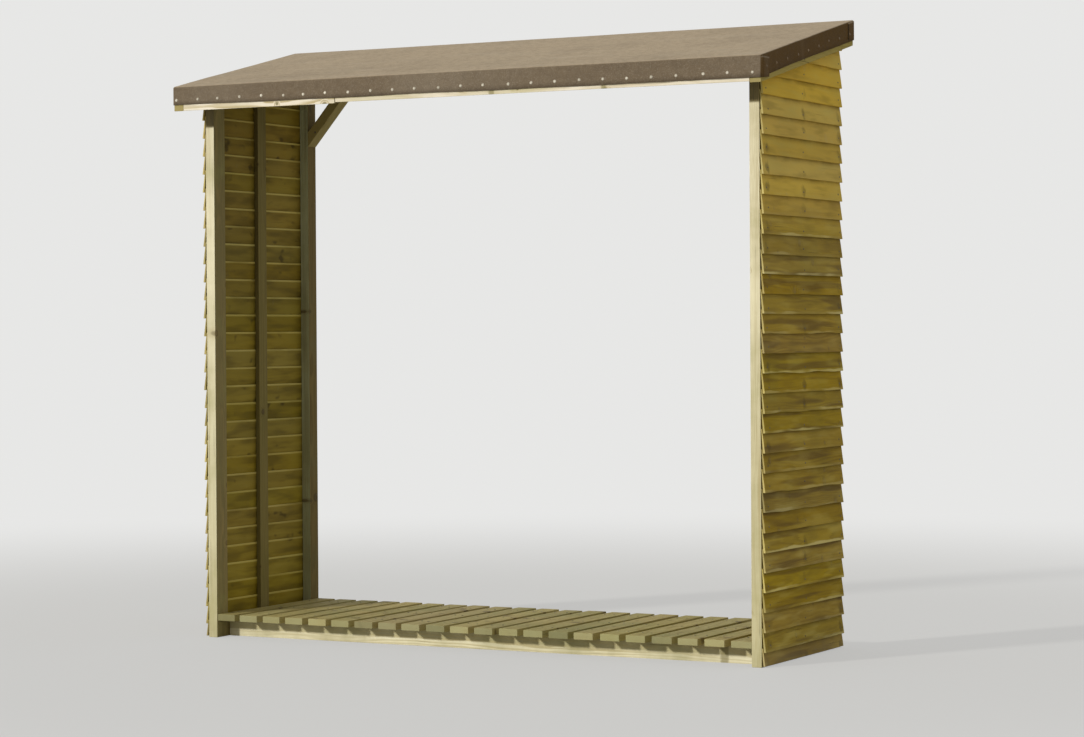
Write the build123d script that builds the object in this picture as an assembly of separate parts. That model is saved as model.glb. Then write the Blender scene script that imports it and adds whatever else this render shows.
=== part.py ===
from build123d import *
import math
import os

# A garden log store: two boarded side walls on light softwood frames, a slatted floor on bearers,
# a felted lean-to roof that falls to the front, and an open front and back.
# Millimetres. +X runs to the right, +Y to the back and +Z up. The origin is on the ground, midway
# between the roof's sides and midway between its front and back edges.

# Overall sizes, over the outer faces of the posts.
store_width = 1800.0
store_depth = 560.0
eave_height = 1566.0
roof_pitch = 13.1

# Side wall frames.
post_width = 30.0
front_post_depth = 57.0
back_post_depth = 45.0
stud_thickness = 14.0
stud_depth = 45.0
side_rail_height = 45.0

# Lapped boards of the side walls.
board_foot_thickness = 7.5
board_head_thickness = 3.0
board_height = 66.0
board_exposure = 53.7
board_lap_gap = 0.3
first_lap_height = 40.0
board_ground_gap = 4.0
smallest_board_piece = 14.0

# Slatted floor.
bearer_thickness = 38.0
bearer_height = 50.0
bearer_setback = 66.0
slat_width = 62.0
slat_thickness = 20.0
slat_count = 22

# Back rail and corner braces.
back_rail_height = 30.0
brace_width = 30.0
brace_drop = 187.0
brace_run = 165.0

# Roof.
front_overhang = 94.0
roof_rail_thickness = 33.0
roof_rail_height = 58.0
roof_rail_clearance = 0.4
rafter_thickness = 30.0
rafter_height = 45.0
roof_board_thickness = 11.0
roof_board_count = 7
roof_board_gap = 1.0
felt_thickness = 2.5
felt_flap_height = 58.0
felt_fold_radius = 4.0

arris = 1.5

# Sizes that follow from the ones above.
slope = math.tan(math.radians(roof_pitch))
plumb = 1 / math.cos(math.radians(roof_pitch))
rail_rise = roof_rail_height * plumb
deck_rise = rail_rise + roof_board_thickness * plumb
felt_rise = deck_rise + felt_thickness * plumb
outer_x = store_width / 2
inner_x = outer_x - post_width
lap_taper = (board_foot_thickness + board_lap_gap) * board_height / board_exposure
lap_lift = lap_taper - board_foot_thickness + board_head_thickness
lap_reach = lap_lift + board_foot_thickness
rail_inner_x = outer_x + lap_reach + roof_rail_clearance
rail_outer_x = rail_inner_x + roof_rail_thickness
roof_run = front_overhang + store_depth
roof_front_y = -roof_run / 2
roof_back_y = roof_run / 2
front_y = roof_front_y + front_overhang
back_y = roof_back_y
slat_top = bearer_height + slat_thickness


def roof_z(y):
    """Height of the roof frame's lower plane at depth y."""
    return eave_height + (y - roof_front_y) * slope


def eased(solid):
    """The piece with the sharp arrises of its sawn timber taken off."""
    return chamfer(solid.edges(), arris)


def block(x, y, z):
    """A squared timber between two corners, each given as (low, high) ranges."""
    size = [high - low for low, high in (x, y, z)]
    middle = [(high + low) / 2 for low, high in (x, y, z)]
    return Pos(*middle) * Box(*size)


def across(points, x):
    """A timber whose side outline in Y and Z runs across the store between two X places."""
    outline = make_face(Polyline(*points, close=True))
    return extrude(Plane.YZ.offset(x[0]) * outline, amount=x[1] - x[0])


def along(points, y):
    """A timber whose front outline in X and Z runs back between two Y places."""
    face_plane = Plane(origin=(0, y[0], 0), x_dir=(1, 0, 0), z_dir=(0, -1, 0))
    outline = make_face(Polyline(*points, close=True))
    return extrude(face_plane * outline, amount=-(y[1] - y[0]))


def pitched(x, y, rise):
    """A timber that follows the roof's pitch, with plumb ends, between two rises over its lower plane."""
    return across(
        [
            (y[0], roof_z(y[0]) + rise[0]),
            (y[1], roof_z(y[1]) + rise[0]),
            (y[1], roof_z(y[1]) + rise[1]),
            (y[0], roof_z(y[0]) + rise[1]),
        ],
        x,
    )


def span(side, near, far):
    """An X range from near to far of the middle, on the left (-1) or right (1) side."""
    return (near, far) if side > 0 else (-far, -near)


def front_post(side):
    """Corner post at the front. Its head is cut to the pitch and carries the roof boards."""
    back = front_y + front_post_depth
    outline = [
        (front_y, 0),
        (back, 0),
        (back, roof_z(back) + rail_rise),
        (front_y, roof_z(front_y) + rail_rise),
    ]
    return eased(across(outline, span(side, inner_x, outer_x)))


def back_post(side):
    """Corner post at the back. Its head stops under the roof frame's back rail."""
    front = back_y - back_post_depth
    outline = [(front, 0), (back_y, 0), (back_y, roof_z(back_y)), (front, roof_z(front))]
    return eased(across(outline, span(side, inner_x, outer_x)))


def bottom_rail(side):
    """Rail between the feet of the two posts."""
    y = (front_y + front_post_depth, back_y - back_post_depth)
    return eased(block(span(side, inner_x, outer_x), y, (0, side_rail_height)))


def top_rail(side):
    """Pitched rail between the heads of the two posts, under the roof boards."""
    y = (front_y + front_post_depth, back_y - back_post_depth)
    rise = (rail_rise - side_rail_height * plumb, rail_rise)
    return eased(pitched(span(side, inner_x, outer_x), y, rise))


def middle_stud(side):
    """Thin batten halfway back that the lapped boards are nailed to."""
    middle = (front_y + back_y) / 2
    y = (middle - stud_depth / 2, middle + stud_depth / 2)
    head = rail_rise - side_rail_height * plumb
    outline = [
        (y[0], side_rail_height),
        (y[1], side_rail_height),
        (y[1], roof_z(y[1]) + head),
        (y[0], roof_z(y[0]) + head),
    ]
    return eased(across(outline, span(side, outer_x - stud_thickness, outer_x)))


def lap_outline(side, bottom):
    """Section of one tapered board: its thin head lies on the posts, its thick foot on the board below."""
    top = bottom + board_height
    corners = [
        (outer_x + lap_lift, bottom),
        (outer_x + lap_reach, bottom),
        (outer_x + board_head_thickness, top),
        (outer_x, top),
    ]
    return [(side * x, z) for x, z in corners]


def cladding(side):
    """The lapped boards of one wall: the lowest ripped off the ground, the top ones cut to the pitch."""
    ceiling = pitched(
        span(side, outer_x, outer_x + lap_reach),
        (front_y, back_y),
        (-2 * eave_height, rail_rise - 1.0),
    )
    above_ground = block(
        span(side, outer_x, outer_x + lap_reach),
        (front_y, back_y),
        (board_ground_gap, 2 * eave_height),
    )
    boards = []
    bottom = first_lap_height - board_exposure
    while bottom < roof_z(back_y) + rail_rise - smallest_board_piece:
        board = along(lap_outline(side, bottom), (front_y, back_y))
        boards.append((board & above_ground & ceiling).solids()[0])
        bottom += board_exposure
    return Compound(children=boards)


def bearer(middle):
    """Floor bearer on edge between the two bottom rails."""
    y = (middle - bearer_thickness / 2, middle + bearer_thickness / 2)
    return eased(block((-inner_x, inner_x), y, (0, bearer_height)))


def floor_slats():
    """Floor slats that run from front to back, level with the posts' faces, over the bearers."""
    pitch = (2 * inner_x - slat_width) / (slat_count - 1)
    slats = []
    for number in range(slat_count):
        left = -inner_x + number * pitch
        slat = block((left, left + slat_width), (front_y, back_y), (bearer_height, slat_top))
        slats.append(eased(slat).solids()[0])
    return Compound(children=slats)


def back_top_rail():
    """Rail that ties the heads of the back posts, under the roof frame's back rail."""
    y = (back_y - back_post_depth, back_y)
    low = roof_z(y[0]) - back_rail_height
    outline = [(y[0], low), (y[1], low), (y[1], roof_z(y[1])), (y[0], roof_z(y[0]))]
    return eased(across(outline, (-inner_x, inner_x)))


def corner_brace(side):
    """Steep brace between a back post and the back top rail."""
    head = roof_z(back_y - back_post_depth) - back_rail_height
    foot = head - brace_drop
    length = math.hypot(brace_run, brace_drop)
    upright_cut = brace_width * length / brace_run
    level_cut = brace_width * length / brace_drop
    outline = [
        (side * inner_x, foot),
        (side * inner_x, foot + upright_cut),
        (side * (inner_x - brace_run + level_cut), head),
        (side * (inner_x - brace_run), head),
    ]
    return eased(along(outline, (back_y - back_post_depth, back_y)))


def roof_side_rail(side):
    """Roof frame side, outside the lapped boards, with its end grain showing at the front."""
    x = span(side, rail_inner_x, rail_outer_x)
    return eased(pitched(x, (roof_front_y, roof_back_y), (0, rail_rise)))


def roof_front_rail():
    """Roof frame front, between the two sides, which carries the overhanging eave."""
    y = (roof_front_y, roof_front_y + roof_rail_thickness)
    return eased(pitched((-rail_inner_x, rail_inner_x), y, (0, rail_rise)))


def roof_back_rail():
    """Roof frame back, which sits on the back posts between the two walls of boards."""
    y = (roof_back_y - roof_rail_thickness, roof_back_y)
    return eased(pitched((-outer_x, outer_x), y, (0, rail_rise)))


def middle_rafter():
    """Rafter under the middle of the roof boards, from the front rail to the back rail."""
    x = (-rafter_thickness / 2, rafter_thickness / 2)
    y = (roof_front_y + roof_rail_thickness, roof_back_y - roof_rail_thickness)
    return eased(pitched(x, y, (rail_rise - rafter_height * plumb, rail_rise)))


def roof_boards():
    """Roof boards that run from side to side over the frame."""
    width = (roof_run + roof_board_gap) / roof_board_count
    boards = []
    for number in range(roof_board_count):
        front = roof_front_y + number * width
        y = (front, front + width - roof_board_gap)
        board = pitched((-rail_outer_x, rail_outer_x), y, (rail_rise, deck_rise))
        boards.append(board.solids()[0])
    return Compound(children=boards)


def roof_felt():
    """Roofing felt: one sheet over the boards, turned down over all four edges of the roof frame."""
    t = felt_thickness
    sheet = pitched(
        (-rail_outer_x - t, rail_outer_x + t),
        (roof_front_y - t, roof_back_y + t),
        (felt_rise - felt_flap_height, felt_rise),
    )
    top_edges = sheet.faces().sort_by(Axis.Z)[-1].edges()
    sheet = fillet(top_edges, felt_fold_radius)
    frame = pitched(
        (-rail_outer_x, rail_outer_x),
        (roof_front_y, roof_back_y),
        (felt_rise - 2 * felt_flap_height, deck_rise),
    )
    return sheet - frame


pieces = {
    "front_bearer": bearer(front_y + bearer_setback + bearer_thickness / 2),
    "middle_bearer": bearer((front_y + back_y) / 2),
    "back_bearer": bearer(back_y - bearer_setback - bearer_thickness / 2),
    "floor_slats": floor_slats(),
    "back_top_rail": back_top_rail(),
    "roof_front_rail": roof_front_rail(),
    "roof_back_rail": roof_back_rail(),
    "middle_rafter": middle_rafter(),
    "roof_boards": roof_boards(),
    "roof_felt": roof_felt(),
}
for side, word in ((-1, "left"), (1, "right")):
    pieces[word + "_front_post"] = front_post(side)
    pieces[word + "_back_post"] = back_post(side)
    pieces[word + "_middle_stud"] = middle_stud(side)
    pieces[word + "_bottom_rail"] = bottom_rail(side)
    pieces[word + "_top_rail"] = top_rail(side)
    pieces[word + "_cladding"] = cladding(side)
    pieces[word + "_corner_brace"] = corner_brace(side)
    pieces["roof_" + word + "_rail"] = roof_side_rail(side)

os.makedirs("parts", exist_ok=True)
for name, piece in pieces.items():
    export_step(piece, "parts/" + name + ".step")
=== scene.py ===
import math
import random

import bmesh
import bpy
from mathutils import Matrix, Vector, noise


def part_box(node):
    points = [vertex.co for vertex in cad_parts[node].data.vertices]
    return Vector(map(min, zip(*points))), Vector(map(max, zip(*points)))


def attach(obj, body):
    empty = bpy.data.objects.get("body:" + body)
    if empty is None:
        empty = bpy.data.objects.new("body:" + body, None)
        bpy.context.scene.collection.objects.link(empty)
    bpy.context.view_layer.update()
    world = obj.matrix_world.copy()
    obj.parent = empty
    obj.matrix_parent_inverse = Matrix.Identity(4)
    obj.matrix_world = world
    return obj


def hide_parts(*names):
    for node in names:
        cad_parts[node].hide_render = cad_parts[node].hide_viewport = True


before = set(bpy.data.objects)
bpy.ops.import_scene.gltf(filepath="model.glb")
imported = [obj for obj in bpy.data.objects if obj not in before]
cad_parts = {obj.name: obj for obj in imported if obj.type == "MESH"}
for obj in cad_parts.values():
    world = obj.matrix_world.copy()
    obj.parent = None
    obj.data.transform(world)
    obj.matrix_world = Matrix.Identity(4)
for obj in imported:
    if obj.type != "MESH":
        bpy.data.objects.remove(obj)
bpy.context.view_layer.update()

# The view: the store seen from the right of its open front, from about waist height, through a
# long lens, so that its uprights stay nearly parallel.
camera_place = (3.9555, -7.1991, 0.9137)
camera_turn = math.radians(28.1027)
camera_lift = math.radians(-0.6979)
camera_lean = math.radians(-0.3211)
lens = bpy.data.cameras.new("view")
lens.sensor_fit = "HORIZONTAL"
lens.sensor_width = 36.0
lens.lens = 93.736
lens.shift_x = -0.00037
lens.shift_y = -0.00415
lens.clip_end = 100.0
view = bpy.data.objects.new("view", lens)
bpy.context.scene.collection.objects.link(view)
view.matrix_world = (
    Matrix.Translation(camera_place)
    @ Matrix.Rotation(camera_turn, 4, "Z")
    @ Matrix.Rotation(math.pi / 2 + camera_lift, 4, "X")
    @ Matrix.Rotation(camera_lean, 4, "Z")
)
bpy.context.scene.camera = view
bpy.context.scene.view_settings.view_transform = "Standard"


# The studio: a pale floor that runs out into a pale surround, even light from all round, and one
# soft lamp far off at the front left, which leaves the right-hand wall in shade.
class Value:
    """A value in a finish's nodes. Sums on it add Math nodes, and node() adds any other node."""

    def __init__(self, tree, socket=None):
        self.tree = tree
        self.socket = socket

    def node(self, kind, settings, sockets, output=0):
        made = self.tree.nodes.new(kind)
        for name, setting in settings.items():
            setattr(made, name, setting)
        for name, value in sockets.items():
            if isinstance(value, Value):
                self.tree.links.new(value.socket, made.inputs[name])
            else:
                made.inputs[name].default_value = value
        return Value(self.tree, made.outputs[output])

    def into(self, node, socket):
        self.tree.links.new(self.socket, self.tree.nodes[node].inputs[socket])

    def sum(self, operation, *values):
        return self.node("ShaderNodeMath", {"operation": operation}, dict(enumerate(values)))

    def __add__(self, other):
        return self.sum("ADD", self, other)

    def __radd__(self, other):
        return self.sum("ADD", other, self)

    def __sub__(self, other):
        return self.sum("SUBTRACT", self, other)

    def __rsub__(self, other):
        return self.sum("SUBTRACT", other, self)

    def __mul__(self, other):
        return self.sum("MULTIPLY", self, other)

    def __rmul__(self, other):
        return self.sum("MULTIPLY", other, self)

    def __truediv__(self, other):
        return self.sum("DIVIDE", self, other)

    def __gt__(self, other):
        return self.sum("GREATER_THAN", self, other)

    def absolute(self):
        return self.sum("ABSOLUTE", self)

    def axis(self, number):
        return self.node("ShaderNodeSeparateXYZ", {}, {0: self}, number)

    def point(self, x, y, z):
        return self.node("ShaderNodeCombineXYZ", {}, {0: x, 1: y, 2: z})

    def minus(self, other):
        return self.node("ShaderNodeVectorMath", {"operation": "SUBTRACT"}, {0: self, 1: other})

    def length(self):
        return self.node("ShaderNodeVectorMath", {"operation": "LENGTH"}, {0: self}, "Value")

    def step(self, low, high, start=0.0, end=1.0):
        """Runs smoothly from start to end as this value goes from low to high."""
        sockets = {"Value": self, "From Min": low, "From Max": high, "To Min": start, "To Max": end}
        return self.node("ShaderNodeMapRange", {"interpolation_type": "SMOOTHSTEP"}, sockets)

    def cloud(self, scale, detail=2.0, roughness=0.5, output=0):
        """Noise over this place, from 0 to 1."""
        sockets = {"Vector": self, "Scale": scale, "Detail": detail, "Roughness": roughness}
        return self.node("ShaderNodeTexNoise", {}, sockets, output)

    def blend(self, under, over, way="MIX"):
        """The colour over laid on the colour under, as far as this value says."""
        settings = {"data_type": "RGBA", "blend_type": way}
        return self.node("ShaderNodeMix", settings, {0: self, 6: under, 7: over}, 2)


surround_colour = (0.80, 0.80, 0.79, 1.0)
even_colour = (1.0, 0.97, 0.91, 1.0)
even_strength = 0.45
studio = bpy.data.worlds.new("studio")
studio.use_nodes = True
bpy.context.scene.world = studio
air = Value(studio.node_tree)
even_light = air.node("ShaderNodeBackground", {}, {"Color": even_colour, "Strength": even_strength})
surround = air.node("ShaderNodeBackground", {}, {"Color": surround_colour, "Strength": 1.0})
seen = air.node("ShaderNodeLightPath", {}, {}, "Is Camera Ray")
mirrored = air.node("ShaderNodeLightPath", {}, {}, "Is Glossy Ray")
light_or_surround = {0: seen + mirrored, 1: even_light, 2: surround}
air.node("ShaderNodeMixShader", {}, light_or_surround).into("World Output", "Surface")

beam = Vector((0.45, 0.81, -0.373))
beam_turn = beam.to_track_quat("-Z", "Y").to_matrix().to_4x4()
lamp_distance = 6.0
lamp = bpy.data.lights.new("lamp", "SUN")
lamp.energy = 2.12
lamp.angle = math.radians(5.0)
lamp.color = (1.0, 0.98, 0.93)
lamp_stand = bpy.data.objects.new("lamp", lamp)
bpy.context.scene.collection.objects.link(lamp_stand)
lamp_stand.matrix_world = Matrix.Translation(-lamp_distance * beam) @ beam_turn

floor_half = 40.0
fade_start = 1.6
fade_end = 6.0
glow_near = 0.55
ground = bmesh.new()
bmesh.ops.create_grid(ground, x_segments=1, y_segments=1, size=floor_half)
ground_mesh = bpy.data.meshes.new("floor")
ground.to_mesh(ground_mesh)
ground.free()
floor_finish = bpy.data.materials.new("floor")
floor_finish.use_nodes = True
cloth = floor_finish.node_tree.nodes["Principled BSDF"]
cloth.inputs["Base Color"].default_value = (0.50, 0.50, 0.49, 1.0)
cloth.inputs["Roughness"].default_value = 0.9
cloth.inputs["Specular IOR Level"].default_value = 0.1
floor_start = Value(floor_finish.node_tree)
floor_away = floor_start.node("ShaderNodeTexCoord", {}, {}, "Object").length()
floor_seen = floor_start.node("ShaderNodeLightPath", {}, {}, "Is Camera Ray")
floor_fade = floor_away.step(fade_start, fade_end, glow_near, 1.0) * floor_seen
floor_cloth = Value(floor_finish.node_tree, cloth.outputs["BSDF"])
floor_glow = floor_start.node("ShaderNodeEmission", {}, {"Color": surround_colour, "Strength": 1.0})
cloth_or_glow = {0: floor_fade, 1: floor_cloth, 2: floor_glow}
floor_start.node("ShaderNodeMixShader", {}, cloth_or_glow).into("Material Output", "Surface")
ground_mesh.materials.append(floor_finish)
floor = bpy.data.objects.new("floor", ground_mesh)
bpy.context.scene.collection.objects.link(floor)


# Floor bearers: three lengths of sawn softwood on the ground, pressure-treated, that carry the
# slats. The front one stands well back from the posts. Its front is pale, partly bleaching and partly
# painted light, with a painted shadow of the slats along its top.
def paint(red, green, blue):
    """A colour as it is read off a paint card, 0 to 255, made linear."""
    shares = [part / 255 for part in (red, green, blue)]
    linear = [((s + 0.055) / 1.055) ** 2.4 if s > 0.04 else s / 12.92 for s in shares]
    return (*linear, 1.0)


class Timber:
    """A timber's finish in the making. Its grain runs along the axis run, its broad face along wide."""

    def __init__(self, name, run, wide, turn):
        self.finish = bpy.data.materials.new(name)
        self.finish.use_nodes = True
        self.start = Value(self.finish.node_tree)
        self.place = self.start.node("ShaderNodeTexCoord", {}, {}, "Object")
        self.facing = self.start.node("ShaderNodeTexCoord", {}, {}, "Normal")
        self.tone = self.carried("tone", "Vector")
        from_pith = self.turned(self.place.minus(self.carried("pith", "Vector")), turn)
        self.along = from_pith.axis(run)
        self.across = from_pith.axis(wide)
        self.through = from_pith.axis(3 - run - wide)
        self.ends = self.turned(self.facing, turn).axis(run).absolute().step(0.55, 0.9)
        self.blotch = self.place.cloud(4.5, 4.0, 0.6)
        self.upright = run == 2

    def carried(self, name, output):
        """What the timber's faces carry under this name."""
        return self.start.node("ShaderNodeAttribute", {"attribute_name": name}, {}, output)

    def turned(self, value, turn):
        """A place or a direction, turned to suit a timber that slopes from side to side."""
        if not turn:
            return value
        sockets = {"Vector": value, "Rotation": (0.0, turn, 0.0)}
        return self.start.node("ShaderNodeMapping", {"vector_type": "POINT"}, sockets)

    def drawn(self, length, width):
        """The place in the timber, in units of length along it and of width across it."""
        return self.start.point(self.along / length, self.across / width, self.through / width)


def branch_knots(timber, radius, share):
    """Knots: branches that leave the pith, so they are round on a broad face and long on an edge."""
    to_the_metre = 6.5
    round_the_pith = 1.3
    smallest = 0.0035
    growth = 0.0085
    angle = timber.start.sum("ARCTAN2", timber.through, timber.across)
    branch = timber.start.point(timber.along * to_the_metre, angle * round_the_pith, 0.0)
    settings = {"voronoi_dimensions": "2D"}
    sockets = {"Vector": branch, "Scale": 1.0, "Randomness": 0.85}
    offset = branch.minus(timber.start.node("ShaderNodeTexVoronoi", settings, sockets, "Position"))
    kind = timber.start.node("ShaderNodeTexVoronoi", settings, sockets, "Color")
    lengthways = offset.axis(0) / to_the_metre
    sideways = offset.axis(1) * radius / round_the_pith
    ragged = (timber.drawn(0.012, 0.012).cloud(1.0, 1.0) - 0.5) * 0.0035
    size = kind.axis(1) * kind.axis(1) * growth + smallest
    near = (timber.start.point(lengthways, sideways, 0.0).length() + ragged) / size
    here = kind.axis(0) > 1.0 - share
    core = near.step(0.75, 1.0, 1.0, 0.0) * here
    rim = near.step(0.60, 0.95) * near.step(1.0, 1.45, 1.0, 0.0) * here
    swell = near.step(0.9, 3.2, 1.0, 0.0) * here
    return core, rim, swell


def growth_rings(timber, radius, swell):
    """The dark latewood of the rings about the pith, which part round the knots."""
    ring_width = 0.0034
    parting = 0.0045
    wander = timber.drawn(0.9, 0.012).cloud(1.0, 2.0) * 1.6
    turns = (radius + swell * parting) / ring_width + wander
    part = turns.sum("FRACT", turns)
    strength = timber.drawn(0.7, 0.05).cloud(1.0, 2.0).step(0.30, 0.72, 0.25, 1.0)
    return part.step(0.30, 0.86) * part.step(0.90, 1.0, 1.0, 0.0) * strength


def bleached_and_lit_front(timber, pale, front, green, shade):
    """The front faces' pale colour, partly bleaching and partly painted light: as if lit, while the
    other faces keep the pale colour, as if in shade.
    """
    height = timber.place.axis(2)
    if timber.upright:
        # An upright is greyer, greener and darker towards its foot.
        front = height.step(0.1, 1.4, 0.42, 0.0).blend(front, green)
    if shade:
        # Painted shadow: between these heights the front turns into the colour in shade, as if shadowed.
        low_light, high_light, shaded = shade
        front = (height + timber.blotch * 0.004).step(low_light, high_light).blend(front, shaded)
    # Painted light: faces that look to the front take the front colour, as if lit.
    to_front = (timber.facing.axis(1) * -1.0).step(0.3, 0.8)
    return (to_front * timber.blotch.step(0.30, 0.60, 1.0, 0.75)).blend(pale, front)


def sawn_timber(
    name, run, wide, pale, late, knot, cut_end, green,
    front=None, shade=None, marks=(), knots=0.5, knot_strength=1.0,
    splashed=0.15, uneven=0.0, wear_and_painted_light=None, turn=0.0,
):
    """Rough-sawn treated softwood: growth rings, knots, fibres, streaks, cracks and saw marks.

    The colours are those of the wood, its latewood, its knots, its cut ends and the treatment's
    blotches. front is the pale colour of faces that look to the front, partly bleaching and partly
    painted light, as if these faces were lit and the others in shade. shade is a painted shadow:
    the heights between which the front turns into a third value, the colour in shade. marks are
    dark marks, each a place in X and half a width. knots is the share of branches that show, and
    knot_strength how much they show. splashed is how muddy the wood is near the ground, uneven how
    much whole stretches vary in light, weather a timber's own wear and, on the boards, painted light
    and shade, and turn the slope of its run.
    """
    timber = Timber(name, run, wide, turn)
    drawn = timber.drawn
    sway = drawn(0.42, 0.30).cloud(1.0, 2.0, output=1)
    ring_across = timber.across + (sway.axis(0) - 0.5) * 0.030
    ring_through = timber.through + (sway.axis(1) - 0.5) * 0.022
    radius = timber.start.point(ring_across, ring_through, 0.0).length()
    core, rim, swell = branch_knots(timber, radius, knots)
    latewood = growth_rings(timber, radius, swell)
    fibre = drawn(0.06, 0.0016).cloud(1.0, 3.0, 0.6)
    streak = drawn(0.55, 0.016).cloud(1.0, 3.0, 0.55)
    crack = drawn(0.30, 0.0035).cloud(1.0, 2.0).step(0.72, 0.76)
    saw_mark = drawn(0.0035, 0.06).cloud(1.0, 2.0)

    colour = bleached_and_lit_front(timber, pale, front, green, shade) if front else pale
    colour = (latewood * 0.80).blend(colour, late)
    colour = (streak.step(0.46, 0.80) * 0.50).blend(colour, late)
    sapwood = streak.step(0.20, 0.42, 1.0, 0.0) * 0.30
    colour = sapwood.blend(colour, paint(250, 240, 210), "SOFT_LIGHT")
    colour = (fibre.step(0.50, 0.80) * 0.28).blend(colour, late)
    colour = (timber.blotch.step(0.46, 0.74) * 0.50).blend(colour, green)
    colour = (swell * 0.40 * knot_strength).blend(colour, late)
    colour = (core * 0.75 * knot_strength).blend(colour, knot)
    colour = (rim * 0.45 * knot_strength).blend(colour, paint(74, 60, 28))
    colour = (crack * 0.55).blend(colour, paint(64, 54, 28))
    for mark_place, mark_half in marks:
        from_mark = (timber.place.axis(0) - mark_place).absolute() / mark_half
        ragged = drawn(0.008, 0.02).cloud(1.0, 2.0) * 0.5
        mark = (from_mark + ragged).step(0.7, 1.2, 1.0, 0.0)
        colour = (mark * 0.62).blend(colour, knot)
    if wear_and_painted_light:
        colour = wear_and_painted_light(timber, colour)
    colour = (timber.ends * 0.80).blend(colour, (latewood * 0.6).blend(cut_end, late))
    near_ground = timber.place.axis(2).step(0.0, 0.07, 1.0, 0.0)
    splash = near_ground * timber.blotch.step(0.35, 0.65, 0.33, 1.0) * splashed
    colour = splash.blend(colour, paint(118, 106, 78))

    light = (timber.ends * 0.10 + 0.06) * timber.tone.axis(0) + 1.0
    if uneven:
        light = light + (timber.place.cloud(3.2, 1.0) - 0.5) * uneven
    hue = timber.tone.axis(1) * 0.003 + 0.5
    strength = timber.tone.axis(2) * 0.04 + 1.0
    tinted = {"Hue": hue, "Saturation": strength, "Value": light, "Color": colour}
    timber.start.node("ShaderNodeHueSaturation", {}, tinted).into("Principled BSDF", "Base Color")
    (fibre * 0.20 + 0.66 - core * 0.12).into("Principled BSDF", "Roughness")
    relief = fibre * 0.00022 + latewood * 0.00012 + saw_mark * 0.00016 + streak * 0.0003
    relief = relief - crack * 0.0006 + core * 0.0004
    bump = {"Strength": 1.0, "Distance": 1.0, "Height": relief}
    timber.start.node("ShaderNodeBump", {}, bump).into("Principled BSDF", "Normal")
    shader = timber.finish.node_tree.nodes["Principled BSDF"]
    shader.inputs["Specular IOR Level"].default_value = 0.25
    return timber.finish


def squared(x, y, low, high):
    """Shape of a squared timber. Its low and high faces are heights, or rules of the depth y."""

    def shape(a, b, c):
        depth = y[0] + (y[1] - y[0]) * b
        bottom = low(depth) if callable(low) else low
        top = high(depth) if callable(high) else high
        return Vector((x[0] + (x[1] - x[0]) * a, depth, bottom + (top - bottom) * c))

    return shape


def new_timbers():
    """An empty mesh whose faces carry each timber's pith, its tone and the height of its foot."""
    bm = bmesh.new()
    bm.faces.layers.float_vector.new("pith")
    bm.faces.layers.float_vector.new("tone")
    bm.faces.layers.float.new("foot")
    return bm


def add_timber(bm, shape, run, seed, foot=0.0):
    """Adds one timber and gives it a pith outside its thin side, as if sawn from its own log."""
    chance = random.Random(seed)
    corners = bmesh.ops.create_cube(bm, size=1.0)["verts"]
    for corner in corners:
        corner.co = shape(*(0.5 + t for t in corner.co))
    middle = sum((corner.co for corner in corners), Vector()) / 8
    spans = [max(c.co[n] for c in corners) - min(c.co[n] for c in corners) for n in range(3)]
    thin = min((n for n in range(3) if n != run), key=lambda n: spans[n])
    heart = Vector([chance.uniform(-0.02, 0.02) for n in range(3)])
    heart[thin] = chance.choice((-1, 1)) * chance.uniform(0.035, 0.085)
    heart[run] = chance.uniform(-9.0, 9.0)
    tone = Vector([max(-1.6, min(1.6, chance.gauss(0.0, 0.8))) for n in range(3)])
    for face in {face for corner in corners for face in corner.link_faces}:
        face[bm.faces.layers.float_vector["pith"]] = middle + heart
        face[bm.faces.layers.float_vector["tone"]] = tone
        face[bm.faces.layers.float["foot"]] = foot


def edges_along(bm, run):
    """The edges that run along one axis, or nearly so."""
    return [e for e in bm.edges if abs((e.verts[1].co - e.verts[0].co).normalized()[run]) > 0.7]


def ease_edges(bm, offset, segments):
    """Rounds every edge that turns by more than about 34 degrees, as far back from it as offset."""
    sharp = [e for e in bm.edges if e.is_manifold and e.calc_face_angle() > 0.6]
    bmesh.ops.bevel(
        bm, geom=sharp, offset=offset, segments=segments, profile=0.5, affect="EDGES", material=-1
    )


def dress_timbers(bm, run, every, arris, bow):
    """Cuts the timbers across, eases their arrises, and lets them bow and wind a little."""
    # Unseeded, noise_vector starts from the clock, and no two runs would bow alike.
    noise.seed_set(3)
    pith = bm.faces.layers.float_vector["pith"]
    lengths = edges_along(bm, run)
    cuts = max(2, round(max(e.calc_length() for e in lengths) / every))
    bmesh.ops.subdivide_edges(bm, edges=lengths, cuts=cuts, use_grid_fill=True)
    ease_edges(bm, offset=arris, segments=2)
    for vertex in bm.verts:
        key = vertex.link_faces[0][pith]
        sides = vertex.co[(run + 1) % 3] + vertex.co[(run + 2) % 3]
        travel = Vector((vertex.co[run] * 2.3, key[run] * 3.1, key[(run + 1) % 3] * 7.0))
        rough = Vector((vertex.co[run] * 14.0, key[run] * 5.3, sides * 30.0))
        sway = noise.noise_vector(travel) * bow + noise.noise_vector(rough) * bow * 0.35
        sway[run] = 0.0
        vertex.co += sway


def finish_piece(bm, name, finish, slot, *nodes):
    """Makes the mesh one piece of the store, which stands for the named parts of its frame."""
    mesh = bpy.data.meshes.new(name)
    bm.to_mesh(mesh)
    bm.free()
    mesh.shade_smooth()
    mesh.set_sharp_from_angle(angle=math.radians(40))
    mesh.materials.append(finish)
    piece = bpy.data.objects.new(name, mesh)
    bpy.context.scene.collection.objects.link(piece)
    flat = piece.modifiers.new("flat_faces", "WEIGHTED_NORMAL")
    flat.keep_sharp = True
    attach(piece, "root")
    if nodes:
        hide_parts(*nodes)
    return piece


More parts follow.
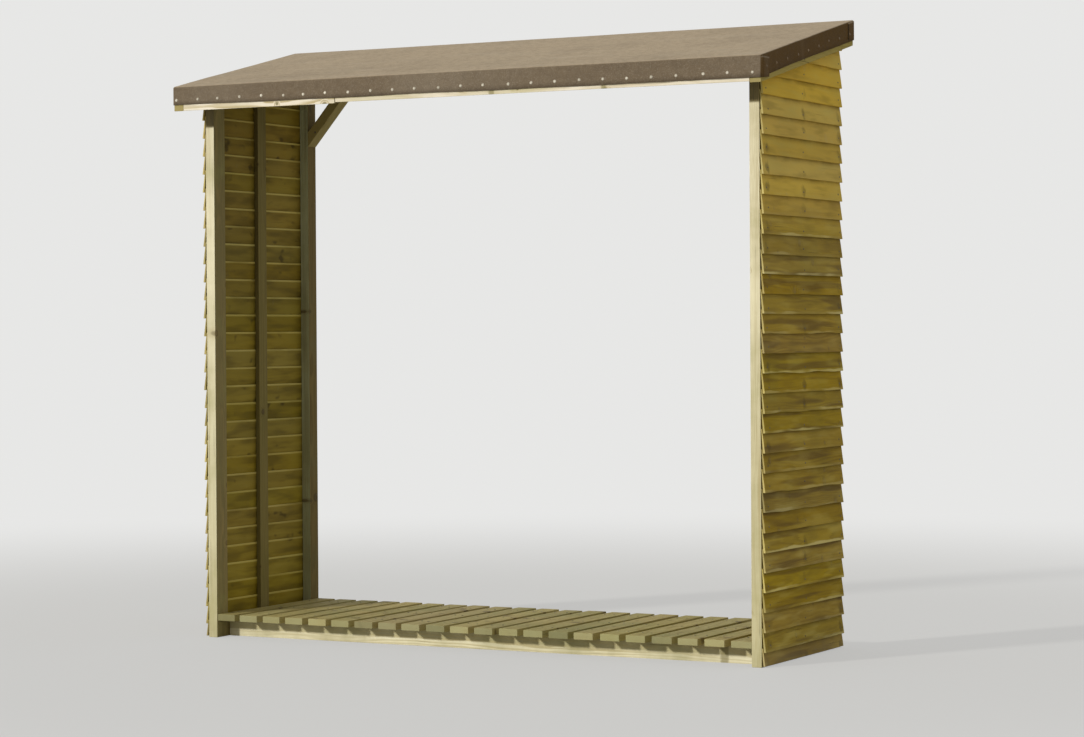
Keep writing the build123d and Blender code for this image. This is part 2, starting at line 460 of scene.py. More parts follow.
bearer_timber = sawn_timber(
    "bearer_timber",
    run=0,
    wide=2,
    pale=paint(172, 160, 110),
    late=paint(196, 180, 130),
    knot=paint(120, 108, 58),
    cut_end=paint(150, 144, 96),
    green=paint(158, 156, 100),
    front=paint(252, 244, 210),
    # Painted shadow: the top of the bearer's front, under the slats, is darker, as if in their shadow.
    shade=(0.021, 0.027, paint(198, 189, 147)),
    knots=0.3,
    marks=((0.760, 0.016),),
)
for place_name, seed in (("front", 11), ("middle", 12), ("back", 13)):
    node = place_name + "_bearer"
    low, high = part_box(node)
    bearer = new_timbers()
    shape = squared((low.x, high.x), (low.y, high.y), low.z, high.z)
    add_timber(bearer, shape, run=0, seed=seed)
    dress_timbers(bearer, run=0, every=0.06, arris=0.0016, bow=0.0005)
    finish_piece(bearer, place_name + "_floor_bearer", bearer_timber, "bearer", node)

# Floor slats: twenty-two sawn boards that run from front to back over the bearers, with
# finger-wide gaps, and two nails in each crossing. Their cut ends show in a row at the front.
slat_timber = sawn_timber(
    "slat_timber",
    run=1,
    wide=0,
    pale=paint(180, 168, 112),
    late=paint(146, 128, 74),
    knot=paint(104, 88, 44),
    cut_end=paint(154, 152, 112),
    green=paint(134, 136, 84),
)
slat_count = 22
slat_width = 0.062
slat_slack = 0.002
slat_setback = 0.003
slat_sink = 0.0012
slat_floor_low, slat_floor_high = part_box("floor_slats")
slat_pitch = (slat_floor_high.x - slat_floor_low.x - slat_width) / (slat_count - 1)
slats = new_timbers()
for number in range(slat_count):
    chance = random.Random(200 + number)
    slat_left = slat_floor_low.x + number * slat_pitch
    left = slat_left + chance.uniform(0.0, slat_slack)
    right = slat_left + slat_width - chance.uniform(0.0, slat_slack)
    back = chance.uniform(0.0, slat_setback)
    depth = (slat_floor_low.y + back, slat_floor_high.y - slat_setback + back)
    top = slat_floor_high.z - chance.uniform(0.0, slat_sink)
    shape = squared((left, right), depth, slat_floor_low.z, top)
    add_timber(slats, shape, run=1, seed=230 + number)
dress_timbers(slats, run=1, every=0.05, arris=0.0014, bow=0.0005)
finish_piece(slats, "slatted_floor", slat_timber, "slat", "floor_slats")


def galvanised(name, light, dull):
    """Dull zinc on a nail's head, darker where it has weathered."""
    finish = bpy.data.materials.new(name)
    finish.use_nodes = True
    place = Value(finish.node_tree).node("ShaderNodeTexCoord", {}, {}, "Object")
    spangle = place.cloud(260.0, 3.0, 0.6)
    weathered = place.cloud(38.0, 2.0)
    colour = (spangle.step(0.3, 0.7) * 0.5 + weathered.step(0.35, 0.65) * 0.5).blend(light, dull)
    colour.into("Principled BSDF", "Base Color")
    (spangle * 0.25 + 0.45).into("Principled BSDF", "Roughness")
    finish.node_tree.nodes["Principled BSDF"].inputs["Metallic"].default_value = 0.25
    return finish


def add_nail_head(bm, place, outward, radius, height):
    """One nail head, a little domed, with its underside just below the surface."""
    turn = Vector(outward).to_track_quat("Z", "Y").to_matrix().to_4x4()
    set_in = Matrix.Translation(Vector(place)) @ turn @ Matrix.Translation((0.0, 0.0, height * 0.3))
    bmesh.ops.create_cone(
        bm, cap_ends=True, segments=12, radius1=radius, radius2=radius * 0.7, depth=height, matrix=set_in
    )


slat_nail_radius = 0.0030
slat_nail_height = 0.0012
slat_nail_z = slat_floor_high.z - 0.0006
slat_nail_stray_x = 0.004
slat_nail_stray_y = 0.006
dull_nail = galvanised("dull_nail", paint(120, 112, 92), paint(74, 68, 52))
slat_nails = bmesh.new()
chance = random.Random(5)
for number in range(slat_count):
    for place_name in ("front", "middle", "back"):
        low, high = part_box(place_name + "_bearer")
        for share in (0.25, 0.75):
            x = slat_floor_low.x + number * slat_pitch + slat_width * share
            x += chance.uniform(-slat_nail_stray_x, slat_nail_stray_x)
            y = (low.y + high.y) / 2 + chance.uniform(-slat_nail_stray_y, slat_nail_stray_y)
            nail_place = (x, y, slat_nail_z)
            add_nail_head(slat_nails, nail_place, (0.0, 0.0, 1.0), slat_nail_radius, slat_nail_height)
finish_piece(slat_nails, "slat_nails", dull_nail, None)

# Side wall frames: light squared posts at the corners, a thin stud halfway and rails between,
# all sawn softwood nailed together. The posts are pale at the front and dull on their sides, partly
# bleaching and partly painted light and shade, with a painted shadow under the eave. The stud's
# front is painted shade.
post_timber = sawn_timber(
    "post_timber",
    run=2,
    wide=0,
    pale=paint(138, 126, 80),
    late=paint(162, 142, 90),
    knot=paint(132, 112, 64),
    cut_end=paint(140, 132, 86),
    green=paint(164, 162, 100),
    front=paint(250, 242, 210),
    # Painted shadow: the top of the post's front, under the eave, is dark, as if in the roof's shadow.
    shade=(1.520, 1.528, paint(92, 86, 66)),
    knots=0.15,
)
back_post_timber = sawn_timber(
    "back_post_timber",
    run=2,
    wide=0,
    pale=paint(128, 112, 62),
    late=paint(106, 92, 48),
    knot=paint(88, 74, 36),
    cut_end=paint(128, 120, 76),
    green=paint(120, 122, 84),
    # Painted light: the back posts' front is pale grey-green, as if lit, though under the roof.
    front=paint(188, 194, 154),
    knots=0.3,
)
stud_timber = sawn_timber(
    "stud_timber",
    run=2,
    wide=1,
    pale=paint(138, 124, 70),
    late=paint(112, 96, 48),
    knot=paint(88, 72, 34),
    cut_end=paint(128, 120, 72),
    green=paint(120, 112, 58),
    # Painted shade: the stud's front is dark, as if in the shadow of the wall.
    front=paint(84, 72, 34),
    knots=0.4,
)
wall_rail_timber = sawn_timber(
    "wall_rail_timber",
    run=1,
    wide=2,
    pale=paint(142, 128, 74),
    late=paint(114, 98, 50),
    knot=paint(90, 74, 36),
    cut_end=paint(130, 122, 74),
    green=paint(122, 114, 60),
    knots=0.4,
)
roof_front = -0.327
eave_height = 1.566
roof_pitch = math.radians(13.1)
roof_slope = math.tan(roof_pitch)
roof_plumb = 1 / math.cos(roof_pitch)
roof_rail_height = 0.058
rail_rise = roof_rail_height * roof_plumb
wall_rail_height = 0.045


def pitched(rise):
    """The rule for a face that follows the roof's pitch, so far above the roof frame's underside."""
    return lambda y: eave_height + (y - roof_front) * roof_slope + rise


under_roof_boards = pitched(rail_rise)
under_top_rail = pitched(rail_rise - wall_rail_height * roof_plumb)
for side, seed in (("left", 38), ("right", 32)):
    for part, finish, slot, run, foot, head in (
        ("front_post", post_timber, "post", 2, 0.0, under_roof_boards),
        ("back_post", back_post_timber, "post", 2, 0.0, pitched(0.0)),
        ("middle_stud", stud_timber, "frame", 2, wall_rail_height, under_top_rail),
        ("bottom_rail", wall_rail_timber, "frame", 1, 0.0, wall_rail_height),
        ("top_rail", wall_rail_timber, "frame", 1, under_top_rail, under_roof_boards),
    ):
        node = side + "_" + part
        low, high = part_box(node)
        timber = new_timbers()
        shape = squared((low.x, high.x), (low.y, high.y), foot, head)
        add_timber(timber, shape, run, seed)
        seed += 1
        dress_timbers(timber, run, every=0.06, arris=0.0015, bow=0.0004)
        finish_piece(timber, node + "_sawn", finish, slot, node)

# Side wall boards: thin tapered boards lapped like tiles, each thicker at its foot than at its
# head, sawn with slightly wavy feet, stained olive, and nailed to the posts and the stud.
wall_outer = 0.900
board_height = 0.066
board_exposure = 0.0537
board_foot = 0.0075
board_head = 0.003
lap_gap = 0.0003
board_lift = (board_foot + lap_gap) * board_height / board_exposure - board_foot + board_head
first_lap = 0.040
ground_gap = 0.004
roof_gap = 0.001
smallest_piece = 0.014
nail_lines = (-0.2045, 0.047, 0.3045)
nail_rise = 0.017
nail_stray_y = 0.008
nail_stray_z = 0.003
nail_lean = 0.145
board_nail_radius = 0.0026
board_nail_height = 0.001


def nail_stained(timber, colour, height):
    """Dark stains on the damp wood round the nails, on some boards more than on others."""
    stain_rise = 0.020
    stain_half_height = 0.015
    stain_half_width = 0.014
    from_nail_height = (height - stain_rise) / stain_half_height
    for nail_line in nail_lines:
        from_nail_line = (timber.place.axis(1) - nail_line) / stain_half_width
        from_nail = timber.start.point(from_nail_line, 0.0, from_nail_height).length()
        ragged = (timber.place.cloud(48.0, 2.0) - 0.5) * 2.2
        stain = (from_nail + ragged).step(0.45, 1.35, 1.0, 0.0)
        stain = stain * timber.place.cloud(8.0, 1.0).step(0.46, 0.60)
        colour = (stain * 0.50).blend(colour, paint(82, 66, 20))
    return colour


def painted_shade_inside(timber, colour, inside, patch):
    """Painted shade on the faces inside the store, darker under the roof, with dark patches and spots."""
    low_tone = paint(158, 141, 48)
    high_tone = paint(114, 98, 24)
    tone = timber.place.axis(2).step(0.7, 1.5).blend(low_tone, high_tone)
    colour = (inside * 0.72).blend(colour, tone)
    colour = (inside * patch.step(0.34, 0.56, 1.0, 0.0) * 0.42).blend(colour, paint(80, 66, 12))
    spot = timber.drawn(0.050, 0.034).cloud(1.0, 1.0).step(0.66, 0.80) * inside
    return (spot * 0.65).blend(colour, paint(58, 46, 12))


def board_wear_and_painted_light(timber, colour):
    """The boards' colours over the plain timber: heartwood, stain, wear and bleaching, with painted light
    and shade.
    """
    height = timber.place.axis(2) - timber.carried("foot", "Fac")
    outer = timber.facing.axis(0) * timber.place.axis(0)
    heartwood = timber.drawn(0.34, 0.026).cloud(1.0, 1.0).step(0.52, 0.66)
    ragged = timber.drawn(0.11, 0.5).cloud(1.0, 3.0)
    patch = timber.drawn(0.16, 0.030).cloud(1.0, 2.0, 0.5)
    long_patch = timber.drawn(0.22, 0.06).cloud(1.0, 2.0)
    painted_top_light = timber.place.axis(2).step(1.12, 1.34)
    low_down = timber.place.axis(2).step(0.05, 0.75, 1.0, 0.0)

    # Dark heartwood in long lenses, light and dark patches of stain, and painted light on the upper
    # boards under the roof, which are painted paler and more yellow, as if lit by light thrown back.
    colour = (heartwood * (0.68 - painted_top_light * 0.38)).blend(colour, paint(108, 84, 24))
    colour = (painted_top_light * 0.66).blend(colour, paint(244, 208, 98))
    light_patch = patch.step(0.48, 0.72) * (low_down * 0.25 + painted_top_light * 0.20 + 0.20)
    colour = light_patch.blend(colour, paint(214, 194, 100))
    colour = (patch.step(0.24, 0.50, 1.0, 0.0) * 0.34).blend(colour, paint(110, 88, 22))

    # Pale along the foot, partly wear and partly a painted highlight where light catches it, and
    # painted shade below each lap, darker as if in the shadow of the board above.
    worn_and_lit_foot = (height - ragged * 0.016 + 0.0035).step(0.0, 0.004, 1.0, 0.0)
    worn_and_lit_foot = worn_and_lit_foot * (long_patch.step(0.42, 0.60) + 0.15)
    worn_and_lit_foot = worn_and_lit_foot * timber.tone.axis(1).step(-1.2, 0.6) * (1.0 - painted_top_light)
    colour = (worn_and_lit_foot * 0.80).blend(colour, paint(214, 198, 126))
    painted_lap_shade = height.step(0.036, 0.054) * ragged.step(0.30, 0.70, 0.20, 1.0)
    colour = (painted_lap_shade * (painted_top_light * 0.20 + 0.34)).blend(colour, paint(96, 80, 24))
    colour = nail_stained(timber, colour, height)

    # Painted shade on the faces inside the store, and a painted highlight along each board's head
    # where it shows inside, as if light caught its edge.
    inside = outer.step(-0.6, -0.2, 1.0, 0.0)
    colour = painted_shade_inside(timber, colour, inside, patch)
    head = height.step(0.0590, 0.0620) * outer.step(-0.2, 0.3, 1.0, 0.0)
    head = head * long_patch.step(0.30, 0.55, 0.45, 1.0)
    colour = (head * 0.80).blend(colour, paint(216, 200, 112))

    # The faces that look to the left stand in the sun and are bleached.
    bleached = timber.facing.axis(0).step(-0.7, -0.3, 1.0, 0.0)
    return (bleached * 0.42).blend(colour, paint(186, 172, 124))


board_timber = sawn_timber(
    "board_timber",
    run=1,
    wide=2,
    pale=paint(171, 143, 38),
    late=paint(141, 115, 28),
    knot=paint(104, 82, 28),
    cut_end=paint(202, 188, 126),
    green=paint(146, 130, 44),
    knots=0.35,
    knot_strength=0.4,
    splashed=0.6,
    uneven=0.55,
    wear_and_painted_light=board_wear_and_painted_light,
)


def lapped(sign, front, back, bottom):
    """Shape of one tapered board, whose foot stands out over the head of the board below."""

    def shape(a, b, c):
        reach = board_head * a if c > 0.5 else board_lift + board_foot * a
        return Vector((sign * (wall_outer + reach), front + (back - front) * b, bottom + board_height * c))

    return shape


def nail_board(nails, sign, bottom, chance):
    """Nails one board near its foot to each post and to the stud, where the board is whole there."""
    foot_room = 0.008
    head_room = 0.012
    for nail_line in nail_lines:
        y = nail_line + chance.uniform(-nail_stray_y, nail_stray_y)
        z = bottom + nail_rise + chance.uniform(-nail_stray_z, nail_stray_z)
        if ground_gap + foot_room < z < under_roof_boards(y) - head_room:
            taper = (board_head - board_lift - board_foot) * (z - bottom) / board_height
            nail_place = (sign * (wall_outer + board_lift + board_foot + taper), y, z)
            outward = (sign, 0.0, nail_lean)
            add_nail_head(nails, nail_place, outward, board_nail_radius, board_nail_height)


def wave_feet(boards, sign, waves):
    """Gives each board the wavy foot that the saw left, and a slightly uneven face."""
    lowest_wave = -0.0018
    highest_wave = 0.0050
    cup_depth = 0.0003
    foot_layer = boards.faces.layers.float["foot"]
    for vertex in boards.verts:
        foot = vertex.link_faces[0][foot_layer]
        low_down = max(0.0, 1.0 - (vertex.co.z - foot) / (0.6 * board_height))
        place = Vector((vertex.co.y * 7.0, foot * 31.0, sign * 4.0))
        wave = (noise.noise(place) + noise.noise(place * 3.1) * 0.4) * waves[round(foot, 4)]
        vertex.co.z += max(lowest_wave, min(highest_wave, wave)) * low_down
        cup = noise.noise(Vector((vertex.co.y * 4.2 + 9.0, foot * 18.6, vertex.co.z * 20.0)))
        vertex.co.x += sign * cup * cup_depth


def cut_off(bm, place, beyond):
    """Cuts off all that lies beyond a plane through this place, and closes the cut."""
    everything = bm.verts[:] + bm.edges[:] + bm.faces[:]
    cut = bmesh.ops.bisect_plane(bm, geom=everything, plane_co=place, plane_no=beyond, clear_outer=True)
    rims = [e for e in cut["geom_cut"] if isinstance(e, bmesh.types.BMEdge)]
    bmesh.ops.holes_fill(bm, edges=rims, sides=0)


straight_share = 0.7
slight_wave = 0.0009
strong_wave = 0.0032
front_slack = 0.0025
back_slack = 0.002
wall_nails = bmesh.new()
for side, sign, first_seed in (("left", -1, 300), ("right", 1, 400)):
    low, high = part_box(side + "_cladding")
    boards = new_timbers()
    bottom = first_lap - board_exposure
    number = 0
    waves = {}
    while bottom < under_roof_boards(high.y) - smallest_piece:
        seed = first_seed + number
        chance = random.Random(seed)
        waves[round(bottom, 4)] = slight_wave if chance.random() < straight_share else strong_wave
        front = low.y + chance.uniform(0.0, front_slack)
        back = high.y - chance.uniform(0.0, back_slack)
        add_timber(boards, lapped(sign, front, back, bottom), run=1, seed=seed, foot=bottom)
        nail_board(wall_nails, sign, bottom, chance)
        bottom += board_exposure
        number += 1
    bmesh.ops.recalc_face_normals(boards, faces=boards.faces[:])
    for way, cuts in ((1, 28), (2, 2)):
        edges = edges_along(boards, way)
        bmesh.ops.subdivide_edges(boards, edges=edges, cuts=cuts, use_grid_fill=True)
    wave_feet(boards, sign, waves)
    ease_edges(boards, offset=0.0009, segments=1)
    board_top = Vector((0.0, roof_front, pitched(rail_rise - roof_gap)(roof_front)))
    cut_off(boards, board_top, Vector((0.0, -roof_slope, 1.0)).normalized())
    cut_off(boards, Vector((0.0, 0.0, ground_gap)), Vector((0.0, 0.0, -1.0)))
    finish_piece(boards, side + "_wall_boards", board_timber, "cladding", side + "_cladding")
finish_piece(wall_nails, "wall_nails", dull_nail, None)

# Back rail and braces: a rail ties the heads of the two back posts, and a short steep brace
# stiffens each corner under it, held with a screw at each end. Sawn softwood.
beam_timber = sawn_timber(
    "beam_timber",
    run=0,
    wide=2,
    pale=paint(150, 136, 82),
    late=paint(122, 106, 56),
    knot=paint(94, 78, 38),
    cut_end=paint(132, 126, 78),
    green=paint(130, 124, 68),
    knots=0.4,
)
low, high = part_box("back_top_rail")
rail = new_timbers()
shape = squared((low.x, high.x), (low.y, high.y), low.z, pitched(0.0))
add_timber(rail, shape, run=0, seed=61)
dress_timbers(rail, run=0, every=0.08, arris=0.0014, bow=0.0004)
finish_piece(rail, "back_rail_sawn", beam_timber, "frame", "back_top_rail")

brace_width = 0.030
brace_drop = 0.187
brace_run = 0.165
brace_steepness = math.atan2(brace_drop, brace_run)
upright_cut = brace_width / math.cos(brace_steepness)
level_cut = brace_width / math.sin(brace_steepness)
screw_radius = 0.0038
screw_height = 0.001


def braced(sign, low, high):
    """Shape of one brace: cut upright against its post, and level under the back rail."""
    post_side = max(abs(low.x), abs(high.x))
    rail_end = min(abs(low.x), abs(high.x))

    def shape(a, b, c):
        x = post_side if a < 0.5 else rail_end + level_cut * c
        z = low.z + upright_cut * c if a < 0.5 else high.z
        return Vector((sign * x, low.y + (high.y - low.y) * b, z))

    return shape


brace_screws = bmesh.new()
for side, sign in (("left", -1), ("right", 1)):
    node = side + "_corner_brace"
    low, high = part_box(node)
    brace = new_timbers()
    add_timber(brace, braced(sign, low, high), run=0, seed=64 + sign)
    bmesh.ops.recalc_face_normals(brace, faces=brace.faces[:])
    lengths = [e for e in brace.edges if abs((e.verts[1].co - e.verts[0].co).x) > 0.1]
    bmesh.ops.subdivide_edges(brace, edges=lengths, cuts=5, use_grid_fill=True)
    ease_edges(brace, offset=0.0014, segments=2)
    brace_timber = sawn_timber(
        side + "_brace_timber",
        run=0,
        wide=2,
        pale=paint(166, 150, 92),
        late=paint(134, 116, 62),
        knot=paint(98, 82, 40),
        cut_end=paint(132, 126, 78),
        green=paint(140, 134, 74),
        turn=-sign * brace_steepness,
    )
    finish_piece(brace, node + "_sawn", brace_timber, "frame", node)
    for share, outward, upward in ((0.14, -0.004, 0.018), (0.86, 0.012, 0.004)):
        x = max(abs(low.x), abs(high.x)) - brace_run * share + outward
        z = low.z + brace_drop * share + upward
        add_nail_head(brace_screws, (sign * x, low.y, z), (0.0, -1.0, 0.0), screw_radius, screw_height)
finish_piece(brace_screws, "brace_screws", dull_nail, None)

# Roof frame: two pitched side rails hang outside the boards with their cut ends to the front. The
# front rail is the pale strip under the felt, two lengths butted; a back rail and a rafter close it.
fascia_timber = sawn_timber(
    "fascia_timber",
    run=0,
    wide=2,
    pale=paint(176, 164, 112),
    late=paint(186, 168, 116),
    knot=paint(126, 118, 62),
    cut_end=paint(118, 112, 72),
    green=paint(196, 190, 138),
    front=paint(252, 243, 224),
    knots=0.35,
    marks=((0.129, 0.012), (0.479, 0.011)),
)
rafter_timber = sawn_timber(
    "rafter_timber",
    run=1,
    wide=2,
    pale=paint(182, 162, 88),
    late=paint(152, 132, 66),
    knot=paint(108, 90, 42),
    cut_end=paint(172, 158, 110),
    green=paint(156, 148, 78),
    knots=0.4,
)
rafter_height = 0.045
under_rafter = rail_rise - rafter_height * roof_plumb
fascia_joint = -0.385
joint_gap = 0.0008
joint_step = 0.003
for node, finish, slot, run, rise, seed in (
    ("roof_left_rail", rafter_timber, "fascia", 1, 0.0, 71),
    ("roof_right_rail", rafter_timber, "fascia", 1, 0.0, 72),
    ("middle_rafter", rafter_timber, "frame", 1, under_rafter, 73),
    ("roof_front_rail", fascia_timber, "fascia", 0, 0.0, 74),
    ("roof_back_rail", beam_timber, "frame", 0, 0.0, 75),
):
    low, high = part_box(node)
    rail = new_timbers()
    lengths = [(low.x, high.x, rise)]
    if node == "roof_front_rail":
        left_length = (low.x, fascia_joint - joint_gap, rise)
        right_length = (fascia_joint + joint_gap, high.x, rise + joint_step)
        lengths = [left_length, right_length]
    for left, right, under in lengths:
        shape = squared((left, right), (low.y, high.y), pitched(under), under_roof_boards)
        add_timber(rail, shape, run, seed)
        seed += 10
    dress_timbers(rail, run, every=0.06, arris=0.0015, bow=0.0004)
    finish_piece(rail, node + "_sawn", finish, slot, node)

# Roof boards: thin sawn boards laid side by side over the frame, from end to end of the roof.
# Only their undersides show, from below.
low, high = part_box("roof_boards")
deck_board_count = 7
deck_thickness = 0.011
deck_gap = 0.001
deck_rise = rail_rise + deck_thickness * roof_plumb
deck_pitch = (high.y - low.y + deck_gap) / deck_board_count
deck = new_timbers()
for number in range(deck_board_count):
    front = low.y + number * deck_pitch
    depth = (front, front + deck_pitch - deck_gap)
    shape = squared((low.x, high.x), depth, under_roof_boards, pitched(deck_rise))
    add_timber(deck, shape, run=0, seed=80 + number)
dress_timbers(deck, run=0, every=0.08, arris=0.0008, bow=0.0)
finish_piece(deck, "roof_boarding", beam_timber, "roof_board", "roof_boards")


# Roof felt: one sheet of bitumen felt faced with mineral grit, laid over the boards and folded
# down over all four edges. At each corner the end flap turns round onto the side as an ear.
def mineral_felt(name, lit_top, upright, side, dark_grit, light_grit):
    """Bitumen felt with pressed-in mineral grit, with painted light: its top is painted paler, as if lit.

    Its upright flaps are darker, and the one that looks to the right is painted shade, darker and
    browner, with less grit showing.
    """
    finish = bpy.data.materials.new(name)
    finish.use_nodes = True
    start = Value(finish.node_tree)
    place = start.node("ShaderNodeTexCoord", {}, {}, "Object")
    facing = start.node("ShaderNodeTexCoord", {}, {}, "Normal")
    grit_sockets = {"Vector": place, "Scale": 620.0, "Randomness": 1.0}
    grit_far = start.node("ShaderNodeTexVoronoi", {}, grit_sockets, "Distance")
    grit = start.node("ShaderNodeTexVoronoi", {}, grit_sockets, "Color")
    mottle = place.cloud(55.0, 4.0, 0.65)
    stained = start.point(place.axis(0) * 4.0, place.axis(1) * 3.0, place.axis(2) * 9.0)
    washed = start.point(place.axis(0) * 3.0, place.axis(1) * 22.0, place.axis(2) * 2.0)
    stain = stained.cloud(1.0, 4.0, 0.6)
    wash = washed.cloud(1.0, 3.0, 0.5)
    # Painted shade: the flap that looks to the right is darker and browner, and its grit shows less.
    shaded = facing.axis(0).step(0.4, 0.8)
    gritty = 1.0 - shaded * 0.6
    colour = shaded.blend(upright, side)
    # Painted light: the top is paler, as if lit.
    colour = facing.axis(2).step(0.35, 0.92).blend(colour, lit_top)
    colour = (mottle.step(0.35, 0.70) * 0.22).blend(colour, dark_grit)
    colour = (stain.step(0.42, 0.75) * 0.18).blend(colour, dark_grit)
    colour = (wash.step(0.50, 0.80) * gritty * 0.16).blend(colour, light_grit)
    colour = (grit.axis(0).step(0.60, 0.98) * gritty * 0.14).blend(colour, light_grit)
    colour = (grit.axis(1).step(0.60, 0.98) * 0.18).blend(colour, dark_grit)
    colour.into("Principled BSDF", "Base Color")
    (grit.axis(2) * 0.15 + 0.80).into("Principled BSDF", "Roughness")
    relief = (1.0 - grit_far) * 0.00035 + mottle * 0.0006
    bump = start.node("ShaderNodeBump", {}, {"Strength": 1.0, "Distance": 1.0, "Height": relief})
    bump.into("Principled BSDF", "Normal")
    finish.node_tree.nodes["Principled BSDF"].inputs["Specular IOR Level"].default_value = 0.2
    return finish


felt_finish = mineral_felt(
    "mineral_felt",
    # The top's colour is painted light.
    lit_top=paint(184, 167, 142),
    upright=paint(119, 104, 84),
    # The right-hand flap's colour is painted shade.
    side=paint(98, 72, 28),
    dark_grit=paint(74, 62, 50),
    light_grit=paint(204, 194, 176),
)
felt_thickness = 0.0025
felt_flap = 0.058
felt_fold = 0.0045
felt_rise = deck_rise + felt_thickness * roof_plumb
felt_top = pitched(felt_rise)
felt_low, felt_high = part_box("roof_felt")
clout_pitch = 0.0744
first_clout = -0.9345
felt_skew = 0.0028
skew_depth = 0.2


def skew(x, y):
    """How much lower the felt was cut than straight: its front flap falls a little to the right."""
    return felt_skew * x / felt_high.x * max(0.0, 1.0 - (y - felt_low.y) / skew_depth)


def hang_felt(felt):
    """Lets the sheet lie a little unevenly, and its flaps billow between their nails."""
    fold_depth = 0.004
    unevenness = 0.0009
    pucker_depth = 0.0009
    end_billow = 0.0012
    side_billow = 0.0014
    foot_wave = 0.0030
    for vertex in felt.verts:
        x, y, z = vertex.co
        drop = felt_top(y) - z
        hang = min(1.0, drop / felt_flap)
        if drop < fold_depth:
            vertex.co.z += noise.noise(Vector((x * 3.0, y * 9.0, 1.7))) * unevenness
        elif abs(vertex.normal.y) > abs(vertex.normal.x):
            pucker = abs(math.sin(math.pi * (x - first_clout) / clout_pitch)) * pucker_depth
            billow = abs(noise.noise(Vector((x * 6.0, y, 5.1)))) * end_billow
            vertex.co.y += math.copysign((pucker + billow) * hang * hang, y)
        else:
            billow = abs(noise.noise(Vector((x, y * 8.0, 5.1)))) * side_billow
            vertex.co.x += math.copysign(billow * hang * hang, x)
        wave = noise.noise(Vector((x * 4.0, y * 4.0, 8.3))) * foot_wave
        vertex.co.z += (wave - skew(x, y)) * hang * hang


felt = bmesh.new()
bmesh.ops.create_grid(felt, x_segments=150, y_segments=32, size=0.5)
for vertex in felt.verts:
    x = felt_low.x + (felt_high.x - felt_low.x) * (vertex.co.x + 0.5)
    y = felt_low.y + (felt_high.y - felt_low.y) * (vertex.co.y + 0.5)
    vertex.co = (x, y, felt_top(y))
flaps = bmesh.ops.extrude_edge_only(felt, edges=[e for e in felt.edges if e.is_boundary])["geom"]
for vertex in [v for v in flaps if isinstance(v, bmesh.types.BMVert)]:
    vertex.co.z -= felt_flap
uprights = [e for e in felt.edges if e.verts[0].co.xy == e.verts[1].co.xy]
bmesh.ops.subdivide_edges(felt, edges=uprights, cuts=3, use_grid_fill=True)
ease_edges(felt, offset=felt_fold, segments=3)
bmesh.ops.recalc_face_normals(felt, faces=felt.faces[:])
felt.normal_update()
hang_felt(felt)

ear_width = 0.045
ear_corner = 0.005
ear_bend = 0.3
ear_proud = 0.0028
ear_gape = 0.0008
ear_start = 0.0004
ear_slope = 0.35
below_fold = 0.0035
above_flap = 0.0006


def on_ear(along, up, side_x, outward_x, end_y, inward):
    """A place on an ear, which bends round the corner and then lies on the side flap."""
    turn = min(1.0, along / ear_bend) * math.pi / 2
    run = max(0.0, along - ear_bend) / (1.0 - ear_bend) * (ear_width - ear_corner)
    reach = ear_proud * math.sin(turn) - ear_corner * math.cos(turn) + ear_gape * run / ear_width
    x = side_x + outward_x * reach
    y = end_y + inward * (ear_start + ear_corner * (1.0 - math.cos(turn)) + run)
    top = min(felt_top(end_y), felt_top(y)) - below_fold
    foot = felt_top(end_y) - felt_flap + ear_slope * (felt_top(y) - felt_top(end_y))
    foot += above_flap - skew(side_x, y)
    return x, y, foot + (top - foot) * up


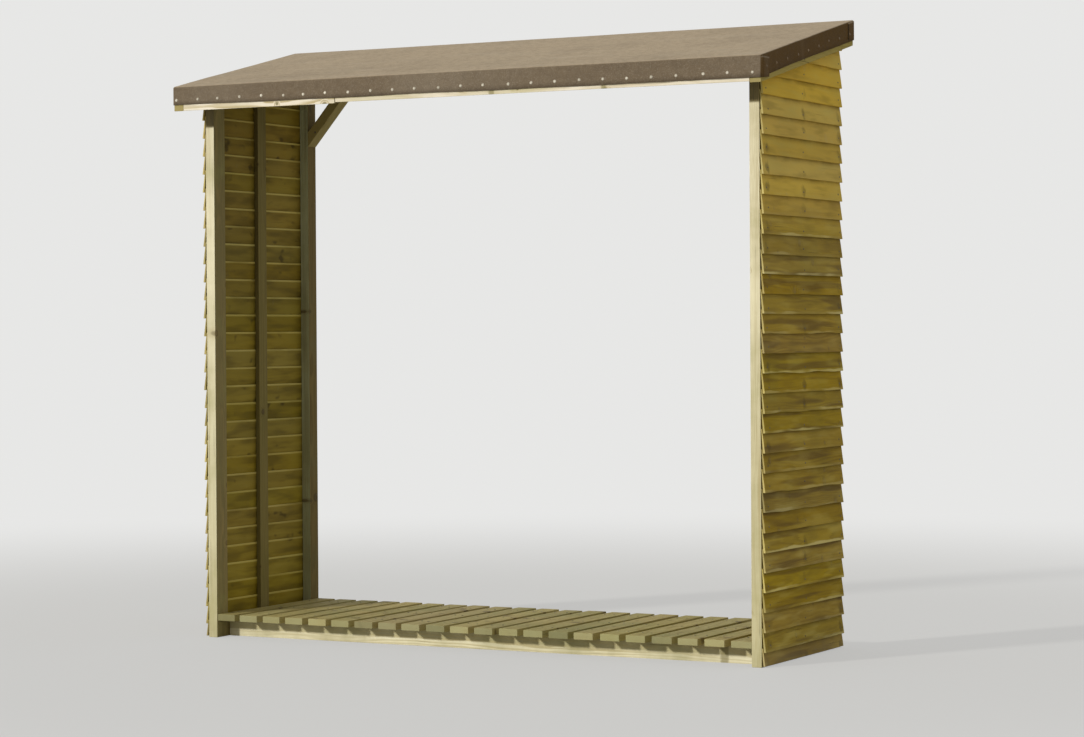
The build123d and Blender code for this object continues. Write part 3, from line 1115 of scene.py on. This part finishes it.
for side_x, outward_x in ((felt_low.x, -1), (felt_high.x, 1)):
    for end_y, inward in ((felt_low.y, 1), (felt_high.y, -1)):
        ear = bmesh.ops.create_grid(felt, x_segments=12, y_segments=5, size=0.5)["verts"]
        for vertex in ear:
            along, up = vertex.co.x + 0.5, vertex.co.y + 0.5
            vertex.co = on_ear(along, up, side_x, outward_x, end_y, inward)
        faces = list({face for vertex in ear for face in vertex.link_faces})
        for face in faces:
            face.normal_update()
        inside_out = [face for face in faces if face.normal.x * outward_x - face.normal.y * inward < 0]
        bmesh.ops.reverse_faces(felt, faces=inside_out)
felt_piece = finish_piece(felt, "felt_sheet", felt_finish, "felt", "roof_felt")
thickness = felt_piece.modifiers.new("thickness", "SOLIDIFY")
thickness.thickness = felt_thickness
thickness.offset = -1.0

# Clout nails: galvanised nails with broad flat heads hold the felt's folded edges, a hand's width
# apart, close to the lower edge at the front and back, and higher up along the sides.
clout_finish = galvanised("clout_nail", paint(224, 217, 200), paint(152, 144, 126))
# Painted shade: the side clouts are darker and browner than the others, as if in shade.
side_clout_painted_shade = galvanised("side_clout_nail", paint(146, 120, 84), paint(98, 78, 50))
clout_height = 0.0014
clout_proud = 0.0004
clout_count = 26
clout_radius = 0.0047
clout_rise = 0.0155
clout_stray = 0.004
clout_stray_z = 0.0015
side_clout_count = 9
side_clout_radius = 0.0042
side_clout_rise = 0.023
side_clout_stray_z = 0.003
side_clout_pitch = 0.0735
first_side_clout = -0.298
clout_proud_of_ear = 0.0034
edge_clouts = bmesh.new()
side_clouts = bmesh.new()
chance = random.Random(7)
for number in range(clout_count):
    for end_y, outward_y in ((felt_low.y, -1), (felt_high.y, 1)):
        x = first_clout + number * clout_pitch + chance.uniform(-clout_stray, clout_stray)
        lower_edge = felt_top(end_y) - felt_flap - skew(x, end_y)
        z = lower_edge + clout_rise + chance.uniform(-clout_stray_z, clout_stray_z)
        clout_place = (x, end_y + outward_y * clout_proud, z)
        add_nail_head(edge_clouts, clout_place, (0.0, outward_y, 0.0), clout_radius, clout_height)
for sign in (-1, 1):
    for number in range(side_clout_count):
        y = first_side_clout + number * side_clout_pitch + chance.uniform(-clout_stray, clout_stray)
        z = felt_top(y) - felt_flap + side_clout_rise
        z += chance.uniform(-side_clout_stray_z, side_clout_stray_z)
        through_ear = min(y - felt_low.y, felt_high.y - y) < ear_width
        x = felt_high.x + (clout_proud_of_ear if through_ear else clout_proud)
        add_nail_head(side_clouts, (sign * x, y, z), (sign, 0.0, 0.0), side_clout_radius, clout_height)
finish_piece(edge_clouts, "edge_clout_nails", clout_finish, None)
finish_piece(side_clouts, "side_clout_nails", side_clout_painted_shade, None)
